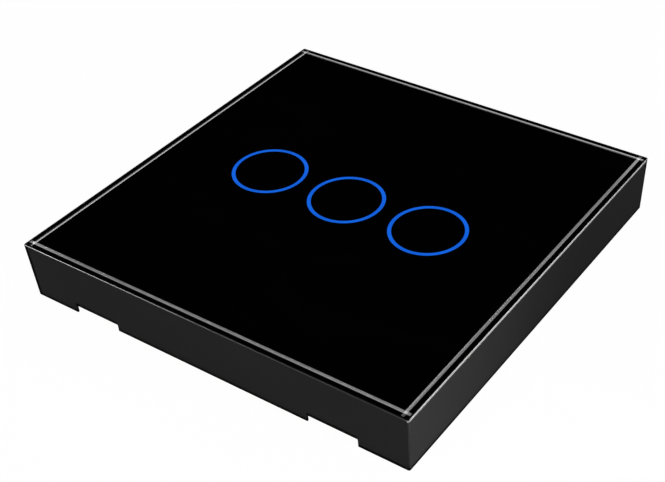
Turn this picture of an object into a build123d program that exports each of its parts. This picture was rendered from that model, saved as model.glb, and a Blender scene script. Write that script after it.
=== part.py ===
from build123d import *
import os
from math import radians, tan

os.makedirs("parts", exist_ok=True)

# Wireless light switch with a glass touch face, in millimetres.
# The origin is the centre of the wall plate's back, +Z points out of the wall,
# X runs along the row of rings and the pry notches are on the -Y side.

# Face and side walls
panel_width = 86.0
corner_radius = 0.4
edge_round = 0.18
side_taper = 2.1  # degrees that each side wall leans in towards the back
side_wall = 1.5
lip_width = 0.35  # rim round the glass, at the face
rim_width = 0.9  # rim round the glass, at the ledge
foot_lift = 0.1  # feet of the side walls above the wall
edge_relief = 0.25  # lower edge between the notches, above the feet
notch_width = 10.5
notch_height = 1.75
notch_spacing = 54.0
notch_skin = 0.4  # wall left beside a notch
notch_relief = 2.2  # reach of the thinned wall on each side of a notch
foot_round = 0.15

# Stack of pieces, from the wall to the face
plate_thickness = 2.0
plate_gap = 0.2
cover_thickness = 1.2
lid_sink = 0.05
lid_thickness = 1.1
cell_gap = 0.05
cell_thickness = 3.2
contact_height = 0.4
board_thickness = 1.0
light_frame_height = 1.65
sheet_gap = 0.1
sheet_thickness = 0.15
glass_thickness = 2.3
tape_thickness = 0.2
ledge_thickness = 1.2

# Clearances
running_gap = 0.05
slide_fit = 0.1
wall_fit = 0.15
snap_clearance = 0.1
assembly_gap = 0.4

# Touch rings and border lines on the glass
glass_gap = 0.06
glass_arris = 0.1
ring_radius = 7.25
ring_line = 0.73
ring_depth = 0.25
ring_pitch = 18.7
line_inset = 1.45  # from the outer edge of the rim to the middle of a border line
line_width = 0.62
line_depth = 0.3
line_dish = 0.08

# Ledge under the glass
ledge_width = 3.5
window_radius = 2.0
cavity_radius = 1.0
tape_margin = 0.4

# Housing bosses and the cover screws in them
boss_radius = 2.3
boss_inset = 4.0  # from the side wall's inner face to the middle of a boss
boss_rib = 1.0
pilot_radius = 0.85
pilot_depth = 4.5
screw_radius = 0.8
screw_length = 5.0
screw_head_radius = 1.9
screw_hole_radius = 1.1
screw_recess_depth = 0.8
cross_width = 0.5
cross_depth = 0.4

# Light frame, guides and touch springs
guide_foot_width = 1.8
guide_top_width = 0.9
guide_foot_height = 0.5
guide_fit = 0.1
light_frame_margin = 1.6
light_frame_floor = 0.7
peg_radius = 0.8
peg_offset = 7.25
spring_radius = 3.0
spring_wire = 0.4
spring_turns = 2.5
spring_fit = 0.5
sheet_margin = 0.8

# LEDs round each ring
leds_per_ring = 4
led_length = 1.6
led_width = 0.8
led_height = 0.55
led_base_height = 0.2
led_lens_margin = 0.12
led_fit = 0.2

# Main board and what is soldered to it
board_margin_x = 6.0
board_margin_y = 11.0
board_corner = 2.0
chip_length = 6.2
chip_width = 4.0
chip_height = 1.5
chip_leads = 8
lead_width = 0.35
lead_reach = 0.9
lead_thickness = 0.18
lead_pitch = 0.65
chip_margin_x = 15.0  # from the board's edge to the middle of a chip
chip_margin_y = 11.0
crystal_length = 5.0
crystal_width = 3.2
crystal_height = 1.2
passive_length = 1.6
passive_width = 0.8
passive_height = 0.5
passive_pitch = 2.6
passive_rows = 3
coil_radius = 1.3
coil_wire = 0.5
coil_pitch = 1.5
coil_turns = 6.5
coil_leg = 3.0

# Coin cell, its contacts and the bayonet lid
cell_radius = 10.0
cell_step = 1.2
cell_rim_round = 0.3
cell_fit = 0.25
lid_ring_fit = 0.2
lid_ring_wall = 0.6
tab_reach = 1.4
tab_thickness = 0.5
tab_angle = 28.0
tab_fit_angle = 2.0
stop_angle = 4.0
tab_count = 3
lid_turn = 45.0  # degrees from locked to released
lid_seat = 0.4
lid_flange_thickness = 0.6
well_wall = 1.0
coin_slot_length = 15.0
coin_slot_width = 2.2
coin_slot_depth = 0.6
mark_size = 0.9
mark_line = 0.3
mark_depth = 0.2
mark_inset = 2.0  # from the lid's edge to the middle of a mark
contact_leaf = 0.2
minus_length = 10.0
minus_width = 3.0
plus_width = 4.0
plus_foot = 2.6
collar_slot_fit = 0.6

# Pairing button and its switch
button_place = -17.6
button_radius = 2.3
button_flange = 0.9
button_flange_thickness = 0.45
button_dish = 0.3
switch_width = 6.0
switch_height = 2.5
switch_lip = 0.3
plunger_radius = 1.7
plunger_length = 1.1
press_travel = 0.25
switch_corner = 0.5

# Board posts on the rear cover
post_radius = 2.0
post_inset = 3.5
pin_radius = 0.9
pin_head = 0.35
cover_rib = 1.0
cover_rib_height = 1.0

# Wall plate
plate_fit = 0.25
plate_corner = 2.5
plate_window = 44.0
plate_window_radius = 3.0
wall_screw_spacing = 60.3
slot_width = 4.2
slot_length = 7.5
head_pocket_width = 10.0
head_pocket_length = 13.0
head_pocket_depth = 1.6
pry_recess = 2.0
finger_place = 14.0
finger_width = 8.0
finger_thickness = 1.0
finger_height = 4.4
finger_nose = 0.55
nose_height = 1.0
catch_reach = 0.55
catch_height = 0.9
pip_radius = 1.5
pip_place = 12.0
pad_width = 14.0
pad_length = 23.0
pad_thickness = 0.5
pad_edge = 3.2  # from the edge of the plate to a pad
pad_radius = 1.0

# Levels above the wall
cover_back = plate_thickness + plate_gap
cover_front = cover_back + cover_thickness
lid_back = cover_back + lid_sink
lid_front = lid_back + lid_thickness
cell_back = lid_front + cell_gap
cell_front = cell_back + cell_thickness
board_back = cell_front + contact_height
board_front = board_back + board_thickness
light_frame_front = board_front + light_frame_height
glass_back = light_frame_front + sheet_gap + sheet_thickness
face_level = glass_back + glass_thickness
ledge_front = glass_back - tape_thickness
ledge_back = ledge_front - ledge_thickness

# Widths that the walls set
foot_half = panel_width / 2 - (face_level - foot_lift) * tan(radians(side_taper))
cavity_half = foot_half - side_wall
recess_half = panel_width / 2 - lip_width
seat_half = panel_width / 2 - rim_width
seat_slope = (recess_half - seat_half) / (face_level - ledge_front)
glass_half = recess_half - glass_gap
glass_back_half = glass_half - glass_thickness * seat_slope
window_half = seat_half - ledge_width
cover_half = cavity_half - wall_fit
plate_half = cavity_half - plate_fit
line_place = panel_width / 2 - line_inset
boss_place = cavity_half - boss_inset
board_half_x = cavity_half - board_margin_x
board_half_y = cavity_half - board_margin_y
chip_x = board_half_x - chip_margin_x
chip_y = board_half_y - chip_margin_y
post_x = board_half_x - post_inset
post_y = board_half_y - post_inset
finger_outer = plate_half - finger_nose - catch_reach - snap_clearance + plate_fit
pad_x = plate_half - pad_edge - pad_width / 2
pad_y = plate_half - pad_edge - pad_length / 2

# Radii about the cell
collar_inner = cell_radius + cell_fit
collar_outer = collar_inner + well_wall
lid_ring_inner = cell_radius + lid_ring_fit
lid_ring_outer = lid_ring_inner + lid_ring_wall
tab_outer = lid_ring_outer + tab_reach
lip_inner = lid_ring_outer + wall_fit
groove_outer = tab_outer + wall_fit
well_outer = groove_outer + well_wall
lid_outer = groove_outer + lid_seat
lid_counterbore = lid_outer + wall_fit
lid_mark_place = lid_outer - mark_inset
cover_mark_place = lid_outer + mark_inset

# Levels in the bayonet
lip_back = lid_back + lid_flange_thickness + running_gap
tab_back = cover_front + running_gap
tab_front = tab_back + tab_thickness
groove_front = tab_front + slide_fit
tab_passage = tab_angle + 2 * tab_fit_angle

ring_centres = {"left": -ring_pitch, "middle": 0.0, "right": ring_pitch}
guide_inner = ring_radius - guide_foot_width / 2
guide_outer = ring_radius + guide_foot_width / 2
light_frame_half_width = guide_outer + light_frame_margin


def write_piece(piece, name):
    piece.part.label = name
    export_step(piece.part, f"parts/{name}.step")


# A flat piece of a ring about the origin
def ring_sector(inner_radius, outer_radius, middle_angle, spread):
    with BuildSketch() as sector:
        with BuildLine():
            outside = CenterArc((0, 0), outer_radius, middle_angle - spread / 2, spread)
            inside = CenterArc((0, 0), inner_radius, middle_angle - spread / 2, spread)
            Line(outside @ 0, inside @ 0)
            Line(outside @ 1, inside @ 1)
        make_face()
    return sector.sketch


# Front housing: drafted walls, a rim that narrows to a lip, a ledge for the glass, screw bosses and catches
with BuildPart() as front_housing:
    with BuildSketch(Plane.XY.offset(foot_lift)):
        RectangleRounded(2 * foot_half, 2 * foot_half, corner_radius)
    with BuildSketch(Plane.XY.offset(face_level)):
        RectangleRounded(panel_width, panel_width, corner_radius)
    loft()
    fillet(front_housing.faces().sort_by(Axis.Z)[-1].edges(), edge_round)
    with BuildSketch(Plane.XY.offset(ledge_front)):
        Rectangle(2 * seat_half, 2 * seat_half)
    with BuildSketch(Plane.XY.offset(face_level)):
        Rectangle(2 * recess_half, 2 * recess_half)
    loft(mode=Mode.SUBTRACT)
    with BuildSketch(Plane.XY.offset(ledge_front)):
        RectangleRounded(2 * window_half, 2 * window_half, window_radius)
    extrude(amount=-ledge_thickness, mode=Mode.SUBTRACT)
    with BuildSketch(Plane.XY.offset(ledge_back)):
        RectangleRounded(2 * cavity_half, 2 * cavity_half, cavity_radius)
    extrude(amount=foot_lift - ledge_back, mode=Mode.SUBTRACT)

    # Bosses from the rear cover up to the ledge, tied to both walls by ribs
    with BuildSketch(Plane.XY.offset(cover_front)):
        with GridLocations(2 * boss_place, 2 * boss_place, 2, 2):
            Circle(boss_radius)
    extrude(amount=ledge_front - cover_front)
    rib_reach = boss_inset + side_wall / 2
    with BuildSketch(Plane.XY.offset(cover_front)):
        for side_x in (-1, 1):
            for side_y in (-1, 1):
                with Locations((side_x * (boss_place + rib_reach / 2), side_y * boss_place)):
                    Rectangle(rib_reach, boss_rib)
                with Locations((side_x * boss_place, side_y * (boss_place + rib_reach / 2))):
                    Rectangle(boss_rib, rib_reach)
    extrude(amount=ledge_front - cover_front)
    with BuildSketch(Plane.XY.offset(cover_front)):
        with GridLocations(2 * boss_place, 2 * boss_place, 2, 2):
            Circle(pilot_radius)
    extrude(amount=pilot_depth, mode=Mode.SUBTRACT)

    # Catches for the wall plate's snap fingers, with a lead-in below
    nose_back = plate_thickness + finger_height - nose_height
    catch_front = nose_back - slide_fit
    for side in (-1, 1):
        for place in (-finger_place, finger_place):
            with BuildSketch(Plane.YZ.offset(place)):
                with BuildLine():
                    Polyline(
                        (side * (cavity_half + side_wall / 2), catch_front),
                        (side * (cavity_half - catch_reach), catch_front),
                        (side * cavity_half, catch_front - catch_height),
                        (side * (cavity_half + side_wall / 2), catch_front - catch_height),
                        close=True,
                    )
                make_face()
            extrude(amount=finger_width / 2, both=True)

    # Pry notches in the lower edge, the wall thinned beside them, and the edge between them raised a little
    notch_top = foot_lift + notch_height
    for place in (-notch_spacing / 2, notch_spacing / 2):
        with BuildSketch(Plane.XZ.offset(cavity_half - side_wall)):
            with Locations((place, notch_top)):
                Rectangle(notch_width, 2 * notch_height, align=(Align.CENTER, Align.MAX))
        extrude(amount=4 * side_wall, mode=Mode.SUBTRACT)
        with BuildSketch(Plane.XZ.offset(cavity_half - side_wall)):
            with Locations((place, notch_top)):
                Rectangle(notch_width + 2 * notch_relief, 2 * notch_height, align=(Align.CENTER, Align.MAX))
        extrude(amount=2 * side_wall - notch_skin, mode=Mode.SUBTRACT)
    with BuildSketch(Plane.XZ.offset(cavity_half - side_wall)):
        with Locations((0, foot_lift + edge_relief)):
            Rectangle(notch_spacing, 2 * edge_relief, align=(Align.CENTER, Align.MAX))
    extrude(amount=4 * side_wall, mode=Mode.SUBTRACT)
    wall_faces = front_housing.faces().filter_by(lambda face: face.area > panel_width * face_level / 2)
    outer_walls = wall_faces.filter_by(lambda face: abs(face.normal_at().Z) < 0.1)
    outer_walls = outer_walls.filter_by(lambda face: max(abs(v) for v in face.center()) > cavity_half)
    low_edges = outer_walls.edges().filter_by(lambda edge: edge.center().Z < notch_top + edge_relief)
    fillet(low_edges, foot_round)
write_piece(front_housing, "front_housing")


# Glass panel with slanted sides, a ground arris, four engraved border lines and three engraved rings
with BuildPart() as glass_panel:
    with BuildSketch(Plane.XY.offset(glass_back)):
        Rectangle(2 * glass_back_half, 2 * glass_back_half)
    with BuildSketch(Plane.XY.offset(face_level)):
        Rectangle(2 * glass_half, 2 * glass_half)
    loft()
    chamfer(glass_panel.faces().sort_by(Axis.Z)[-1].edges(), glass_arris)
    for line_plane in (Plane.YZ, Plane.XZ):
        with BuildSketch(line_plane):
            with Locations((-line_place, face_level), (line_place, face_level)):
                Polygon((-line_width / 2, 0), (0, -line_depth), (line_width / 2, 0), align=None)
        extrude(amount=panel_width, both=True, mode=Mode.SUBTRACT)
    with BuildSketch(Plane.XY.offset(face_level)):
        with Locations(*[(x, 0) for x in ring_centres.values()]):
            Circle(ring_radius + ring_line / 2)
            Circle(ring_radius - ring_line / 2, mode=Mode.SUBTRACT)
    extrude(amount=-ring_depth, mode=Mode.SUBTRACT)
write_piece(glass_panel, "glass_panel")


# Silver filling of the border lines, with a slight dish along its middle
with BuildPart() as border_line:
    for line_plane in (Plane.YZ, Plane.XZ):
        with BuildSketch(line_plane):
            with Locations((-line_place, face_level), (line_place, face_level)):
                Polygon(
                    (-line_width / 2, 0),
                    (0, -line_depth),
                    (line_width / 2, 0),
                    (0, -line_dish),
                    align=None,
                )
        extrude(amount=glass_half - glass_arris, both=True)
write_piece(border_line, "border_line")


# Translucent filling of each engraved ring
for side, ring_x in ring_centres.items():
    with BuildPart() as light_ring:
        with BuildSketch(Plane.XY.offset(face_level - ring_depth)):
            with Locations((ring_x, 0)):
                Circle(ring_radius + ring_line / 2)
                Circle(ring_radius - ring_line / 2, mode=Mode.SUBTRACT)
        extrude(amount=ring_depth)
    write_piece(light_ring, f"light_ring_{side}")


# Double-sided tape between the ledge and the glass
with BuildPart() as panel_tape:
    with BuildSketch(Plane.XY.offset(ledge_front)):
        Rectangle(2 * (seat_half - tape_margin), 2 * (seat_half - tape_margin))
        RectangleRounded(
            2 * (window_half + tape_margin),
            2 * (window_half + tape_margin),
            window_radius,
            mode=Mode.SUBTRACT,
        )
    extrude(amount=tape_thickness)
write_piece(panel_tape, "panel_tape")


# Diffuser sheet on the back of the glass, open for the touch springs
with BuildPart() as diffuser_sheet:
    with BuildSketch(Plane.XY.offset(glass_back)):
        SlotCenterToCenter(2 * ring_pitch, 2 * (guide_outer + sheet_margin))
        with Locations(*[(x, 0) for x in ring_centres.values()]):
            Circle(spring_radius + spring_fit, mode=Mode.SUBTRACT)
    extrude(amount=-sheet_thickness)
write_piece(diffuser_sheet, "diffuser_sheet")


# Light frame: a channel for each ring guide, LED pockets, spring wells and locating pegs
with BuildPart() as light_frame:
    with BuildSketch(Plane.XY.offset(board_front)):
        SlotCenterToCenter(2 * ring_pitch, 2 * light_frame_half_width)
    extrude(amount=light_frame_height)
    with BuildSketch(Plane.XY.offset(light_frame_front)):
        with Locations(*[(x, 0) for x in ring_centres.values()]):
            Circle(guide_outer + guide_fit)
            Circle(guide_inner - guide_fit, mode=Mode.SUBTRACT)
    extrude(amount=light_frame_floor - light_frame_height, mode=Mode.SUBTRACT)
    with BuildSketch(Plane.XY.offset(board_front)):
        with Locations(*[(x, 0) for x in ring_centres.values()]):
            Circle(spring_radius + spring_fit)
            with PolarLocations(ring_radius, leds_per_ring, start_angle=180 / leds_per_ring):
                Rectangle(led_width + 2 * led_fit, led_length + 2 * led_fit)
    extrude(amount=light_frame_height, mode=Mode.SUBTRACT)
    with BuildSketch(Plane.XY.offset(board_front)):
        with GridLocations(ring_pitch, 2 * peg_offset, 2, 2):
            Circle(peg_radius)
    extrude(amount=-board_thickness)
write_piece(light_frame, "light_frame")


# Ring light guides: a broad foot over the LEDs that narrows to the lit line
guide_back = board_front + light_frame_floor
for side, ring_x in ring_centres.items():
    with BuildPart() as light_guide:
        with BuildSketch(Plane.XZ):
            with Locations((ring_x + ring_radius, guide_back)):
                Polygon(
                    (-guide_foot_width / 2, 0),
                    (guide_foot_width / 2, 0),
                    (guide_foot_width / 2, guide_foot_height),
                    (guide_top_width / 2, light_frame_front - guide_back),
                    (-guide_top_width / 2, light_frame_front - guide_back),
                    (-guide_foot_width / 2, guide_foot_height),
                    align=None,
                )
        revolve(axis=Axis((ring_x, 0, 0), (0, 0, 1)))
    write_piece(light_guide, f"light_guide_{side}")


# Touch springs, which carry each touch pad's signal from the board to the glass
spring_height = glass_back - board_front - spring_wire - 2 * running_gap
for side, ring_x in ring_centres.items():
    with BuildPart() as touch_spring:
        with BuildLine() as spring_path:
            Helix(
                pitch=spring_height / spring_turns,
                height=spring_height,
                radius=spring_radius,
                center=(ring_x, 0, board_front + spring_wire / 2 + running_gap),
            )
        with BuildSketch(Plane(origin=spring_path.line @ 0, z_dir=spring_path.line % 0)):
            Circle(spring_wire / 2)
        sweep()
    write_piece(touch_spring, f"touch_spring_{side}")


# Main board with holes for the cover's pins and the light frame's pegs
with BuildPart() as main_board:
    with BuildSketch(Plane.XY.offset(board_back)):
        RectangleRounded(2 * board_half_x, 2 * board_half_y, board_corner)
        with GridLocations(2 * post_x, 2 * post_y, 2, 2):
            Circle(pin_radius + slide_fit, mode=Mode.SUBTRACT)
        with GridLocations(ring_pitch, 2 * peg_offset, 2, 2):
            Circle(peg_radius + slide_fit, mode=Mode.SUBTRACT)
    extrude(amount=board_thickness)
write_piece(main_board, "main_board")


# LEDs in the light frame's pockets
with BuildPart() as ring_leds:
    with BuildSketch(Plane.XY.offset(board_front)):
        with Locations(*[(x, 0) for x in ring_centres.values()]):
            with PolarLocations(ring_radius, leds_per_ring, start_angle=180 / leds_per_ring):
                Rectangle(led_width, led_length)
    extrude(amount=led_base_height)
    with BuildSketch(Plane.XY.offset(board_front + led_base_height)):
        with Locations(*[(x, 0) for x in ring_centres.values()]):
            with PolarLocations(ring_radius, leds_per_ring, start_angle=180 / leds_per_ring):
                Rectangle(led_width - 2 * led_lens_margin, led_length - 2 * led_lens_margin)
    extrude(amount=led_height - led_base_height)
write_piece(ring_leds, "ring_leds")


# Chips with a row of bent leads along each long side, on the back of the board
for name, place_x in (("controller_chip", chip_x), ("touch_chip", -chip_x)):
    with BuildPart() as chip:
        with BuildSketch(Plane.XY.offset(board_back - lead_thickness)):
            with Locations((place_x, chip_y)):
                Rectangle(chip_length, chip_width)
        extrude(amount=lead_thickness - chip_height)
        for lead_side in (-1, 1):
            with BuildSketch(Plane.YZ.offset(place_x)):
                with Locations((chip_y + lead_side * chip_width / 2, board_back)):
                    Polygon(
                        (0, lead_thickness - chip_height / 2),
                        (lead_side * lead_reach / 2, lead_thickness - chip_height / 2),
                        (lead_side * lead_reach / 2, 0),
                        (lead_side * lead_reach, 0),
                        (lead_side * lead_reach, -lead_thickness),
                        (lead_side * (lead_reach / 2 + lead_thickness), -lead_thickness),
                        (lead_side * (lead_reach / 2 + lead_thickness), -chip_height / 2),
                        (0, -chip_height / 2),
                        align=None,
                    )
            lead = extrude(amount=lead_width / 2, both=True, mode=Mode.PRIVATE)
            with GridLocations(lead_pitch, 1, chip_leads, 1):
                add(lead)
    write_piece(chip, name)


# Crystal in its metal can
with BuildPart() as crystal:
    with BuildSketch(Plane.XY.offset(board_back)):
        with Locations((-chip_x, -chip_y)):
            RectangleRounded(crystal_length, crystal_width, crystal_width / 4)
    extrude(amount=-crystal_height)
write_piece(crystal, "crystal")


# Small resistors and capacitors near the chips
with BuildPart() as passives:
    with BuildSketch(Plane.XY.offset(board_back)):
        with Locations((chip_x, -chip_y)):
            with GridLocations(passive_pitch, passive_pitch, passive_rows, passive_rows):
                Rectangle(passive_length, passive_width)
    extrude(amount=-passive_height)
write_piece(passives, "passives")


# Antenna coil past the board's far edge: one leg bent down to its front, one along its back
coil_y = board_half_y + coil_radius + coil_wire / 2 + slide_fit
coil_z = board_back + coil_radius - coil_wire / 2 - running_gap
coil_length = coil_pitch * coil_turns
coil_drop = coil_z + coil_radius - board_front - running_gap
with BuildPart() as antenna_coil:
    with BuildLine():
        turns = Helix(
            pitch=coil_pitch,
            height=coil_length,
            radius=coil_radius,
            center=(-coil_length / 2, coil_y, coil_z),
            direction=(1, 0, 0),
            lefthand=True,
        )
        bend = turns @ 0 - turns % 0 * coil_leg
        foot = FilletPolyline(bend - Vector(0, 0, coil_drop), bend, turns @ 0, radius=coil_wire)
        Line(turns @ 1, turns @ 1 + turns % 1 * coil_leg)
    with BuildSketch(Plane(origin=foot @ 0, z_dir=foot % 0)):
        Circle(coil_wire / 2)
    sweep()
write_piece(antenna_coil, "antenna_coil")


# Pairing switch: a square body with a bore for its plunger
switch_back = board_back - switch_height
with BuildPart() as switch_body:
    with BuildSketch(Plane.XY.offset(board_back)):
        with Locations((0, button_place)):
            RectangleRounded(switch_width, switch_width, switch_corner)
    extrude(amount=-switch_height)
    with BuildSketch(Plane.XY.offset(switch_back)):
        with Locations((0, button_place)):
            Rectangle(switch_width, switch_width)
            Circle(plunger_radius + 2 * switch_lip, mode=Mode.SUBTRACT)
    extrude(amount=switch_lip, mode=Mode.SUBTRACT)
    with BuildSketch(Plane.XY.offset(switch_back)):
        with Locations((0, button_place)):
            Circle(plunger_radius + slide_fit)
    extrude(amount=plunger_length, mode=Mode.SUBTRACT)
write_piece(switch_body, "pairing_switch")


# Plunger of the pairing switch
button_front = cover_front + running_gap + button_flange_thickness
plunger_front = switch_back + plunger_length - press_travel - slide_fit
with BuildPart() as switch_plunger:
    with BuildSketch(Plane.XY.offset(button_front)):
        with Locations((0, button_place)):
            Circle(plunger_radius)
    extrude(amount=plunger_front - button_front)
write_piece(switch_plunger, "switch_plunger")


# Pairing button: a flange that the rear cover holds in, and a dished face
with BuildPart() as pairing_button:
    with BuildSketch(Plane.XY.offset(lid_back)):
        with Locations((0, button_place)):
            Circle(button_radius)
    extrude(amount=button_front - lid_back)
    with BuildSketch(Plane.XY.offset(button_front)):
        with Locations((0, button_place)):
            Circle(button_radius + button_flange)
    extrude(amount=-button_flange_thickness)
    with BuildSketch(Plane.XY.offset(lid_back)):
        with Locations((0, button_place)):
            Circle(button_radius - button_dish)
    extrude(amount=button_dish, taper=45, mode=Mode.SUBTRACT)
write_piece(pairing_button, "pairing_button")


# Leaf under the middle of the board that presses on the cell
with BuildPart() as contact_minus:
    with BuildSketch(Plane.XZ):
        with Locations((0, board_back)):
            Polygon(
                (-minus_length / 2, 0),
                (-minus_length / 4, 0),
                (-minus_length / 10, contact_leaf - contact_height),
                (minus_length / 10, contact_leaf - contact_height),
                (minus_length / 4, 0),
                (minus_length / 2, 0),
                (minus_length / 2, -contact_leaf),
                (minus_length / 4 + contact_leaf / 2, -contact_leaf),
                (minus_length / 10 + contact_leaf / 2, -contact_height),
                (-minus_length / 10 - contact_leaf / 2, -contact_height),
                (-minus_length / 4 - contact_leaf / 2, -contact_leaf),
                (-minus_length / 2, -contact_leaf),
                align=None,
            )
    extrude(amount=minus_width / 2, both=True)
write_piece(contact_minus, "contact_minus")


# Side contact: a foot on the board and a leaf down beside the cell
with BuildPart() as contact_plus:
    with BuildSketch(Plane.XZ):
        with Locations((cell_radius + running_gap, board_back)):
            Polygon(
                (0, 0),
                (plus_foot, 0),
                (plus_foot, -contact_leaf),
                (contact_leaf, -contact_leaf),
                (contact_leaf, groove_front + well_wall - board_back),
                (0, groove_front + well_wall - board_back),
                align=None,
            )
    extrude(amount=plus_width / 2, both=True)
write_piece(contact_plus, "contact_plus")


# Coin cell: a can with a rounded rim and a smaller cap towards the board
with BuildPart() as coin_cell:
    with BuildSketch(Plane.XY.offset(cell_back)):
        Circle(cell_radius)
    extrude(amount=cell_thickness - cell_rim_round)
    fillet(coin_cell.edges().filter_by(GeomType.CIRCLE), cell_rim_round)
    with BuildSketch(Plane.XY.offset(cell_front)):
        Circle(cell_radius - cell_step)
    extrude(amount=-cell_thickness / 2)
write_piece(coin_cell, "coin_cell")


# Rear cover: battery well with bayonet lips, screw-head pockets, board posts and button guide
with BuildPart() as rear_cover:
    with BuildSketch(Plane.XY.offset(cover_back)):
        RectangleRounded(2 * cover_half, 2 * cover_half, cavity_radius)
        finger_room = cover_half - finger_outer + finger_thickness + 2 * assembly_gap
        for side in (-1, 1):
            for place in (-finger_place, finger_place):
                with Locations((place, side * (cover_half - finger_room / 2))):
                    Rectangle(
                        finger_width + 2 * assembly_gap,
                        finger_room + assembly_gap,
                        mode=Mode.SUBTRACT,
                    )
    extrude(amount=cover_thickness)

    # Domes over the heads of the wall screws
    pocket_x = wall_screw_spacing / 2
    with BuildSketch(Plane.XY.offset(cover_front)):
        with Locations((-pocket_x, 0), (pocket_x, 0)):
            SlotOverall(head_pocket_length + 2 * cover_thickness, head_pocket_width + 2 * cover_thickness)
    extrude(amount=head_pocket_depth)

    # Walls of the battery well: a wide groove for the lid's tabs, then a collar round the cell
    with BuildSketch(Plane.XY.offset(cover_front)):
        Circle(well_outer)
    extrude(amount=groove_front + well_wall - cover_front)
    with BuildSketch(Plane.XY.offset(groove_front + well_wall)):
        Circle(collar_outer)
    extrude(amount=board_back - slide_fit - groove_front - well_wall)

    # Posts with pins for the main board, and ribs that tie posts, domes and well together
    with BuildSketch(Plane.XY.offset(cover_front)):
        with GridLocations(2 * post_x, 2 * post_y, 2, 2):
            Circle(post_radius)
    extrude(amount=board_back - cover_front)
    with BuildSketch(Plane.XY.offset(board_back)):
        with GridLocations(2 * post_x, 2 * post_y, 2, 2):
            Circle(pin_radius)
    extrude(amount=board_thickness + pin_head)
    with BuildSketch(Plane.XY.offset(cover_front)):
        Rectangle(2 * pocket_x, cover_rib)
        Rectangle(cover_rib, post_y, align=(Align.CENTER, Align.MIN))
        with GridLocations(2 * post_x, 0, 2, 1):
            Rectangle(cover_rib, 2 * post_y)
        with GridLocations(0, 2 * post_y, 1, 2):
            Rectangle(2 * post_x, cover_rib)
    extrude(amount=cover_rib_height)

    # Hollows of the domes and of the well, with passages for the tabs and stops for the turn
    with BuildSketch(Plane.XY.offset(cover_back)):
        with Locations((-pocket_x, 0), (pocket_x, 0)):
            SlotOverall(head_pocket_length, head_pocket_width)
    extrude(amount=head_pocket_depth, mode=Mode.SUBTRACT)
    with BuildSketch(Plane.XY.offset(cover_back)):
        Circle(lid_counterbore)
    extrude(amount=lip_back - cover_back, mode=Mode.SUBTRACT)
    with BuildSketch(Plane.XY.offset(lip_back)):
        Circle(lip_inner)
        for turn in range(tab_count):
            add(ring_sector(cell_radius, groove_outer, 360 / tab_count * turn - lid_turn, tab_passage))
    extrude(amount=cover_front - lip_back, mode=Mode.SUBTRACT)
    with BuildSketch(Plane.XY.offset(cover_front)):
        Circle(groove_outer)
        for turn in range(tab_count):
            locked_stop = 360 / tab_count * turn + tab_passage / 2 + stop_angle / 2
            released_stop = 360 / tab_count * turn - lid_turn - tab_passage / 2 - stop_angle / 2
            add(ring_sector(lip_inner, well_outer, locked_stop, stop_angle), mode=Mode.SUBTRACT)
            add(ring_sector(lip_inner, well_outer, released_stop, stop_angle), mode=Mode.SUBTRACT)
    extrude(amount=groove_front - cover_front, mode=Mode.SUBTRACT)
    with BuildSketch(Plane.XY.offset(groove_front)):
        Circle(collar_inner)
    extrude(amount=board_back - groove_front, mode=Mode.SUBTRACT)

    # Slot in the collar for the side contact
    with BuildSketch(Plane.XY.offset(groove_front + well_wall)):
        with Locations((cell_radius, 0)):
            Rectangle(2 * plus_foot + 2 * slide_fit, plus_width + 2 * collar_slot_fit)
    extrude(amount=board_back - groove_front, mode=Mode.SUBTRACT)

    # Button hole, and countersunk holes for the cover screws
    with BuildSketch(Plane.XY.offset(cover_back)):
        with Locations((0, button_place)):
            Circle(button_radius + slide_fit)
        with GridLocations(2 * boss_place, 2 * boss_place, 2, 2):
            Circle(screw_hole_radius)
    extrude(amount=cover_thickness, mode=Mode.SUBTRACT)
    with BuildSketch(Plane.XY.offset(cover_back)):
        with GridLocations(2 * boss_place, 2 * boss_place, 2, 2):
            Circle(screw_head_radius + slide_fit)
    extrude(amount=screw_recess_depth + slide_fit, taper=45, mode=Mode.SUBTRACT)

    # A solid mark where the lid's arrow stands when locked, and an open one where it stands when released
    with BuildSketch(Plane.XY.offset(cover_back)):
        with Locations((0, cover_mark_place)):
            Circle(mark_size)
        with PolarLocations(cover_mark_place, 1, start_angle=90 - lid_turn):
            Circle(mark_size)
            Circle(mark_size - mark_line, mode=Mode.SUBTRACT)
    extrude(amount=mark_depth, mode=Mode.SUBTRACT)
write_piece(rear_cover, "rear_cover")


# Battery lid: a flange on the lips, a ring that carries three tabs, and a coin slot
with BuildPart() as battery_lid:
    with BuildSketch(Plane.XY.offset(lid_back)):
        Circle(lid_outer)
    extrude(amount=lid_flange_thickness)
    with BuildSketch(Plane.XY.offset(lid_back)):
        Circle(lid_ring_outer)
    extrude(amount=lid_thickness)
    with BuildSketch(Plane.XY.offset(lid_front)):
        Circle(lid_ring_outer)
        Circle(lid_ring_inner, mode=Mode.SUBTRACT)
    extrude(amount=tab_front - lid_front)
    with BuildSketch(Plane.XY.offset(tab_back)):
        for turn in range(tab_count):
            add(ring_sector(lid_ring_inner, tab_outer, 360 / tab_count * turn, tab_angle))
    extrude(amount=tab_thickness)
    with BuildSketch(Plane.XY.offset(lid_back)):
        SlotOverall(coin_slot_length, coin_slot_width)
    extrude(amount=coin_slot_depth, mode=Mode.SUBTRACT)
    with BuildSketch(Plane.XY.offset(lid_back)):
        with Locations((0, lid_mark_place)):
            RegularPolygon(radius=mark_size, side_count=3, rotation=30)
    extrude(amount=mark_depth, mode=Mode.SUBTRACT)
write_piece(battery_lid, "battery_lid")


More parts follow.
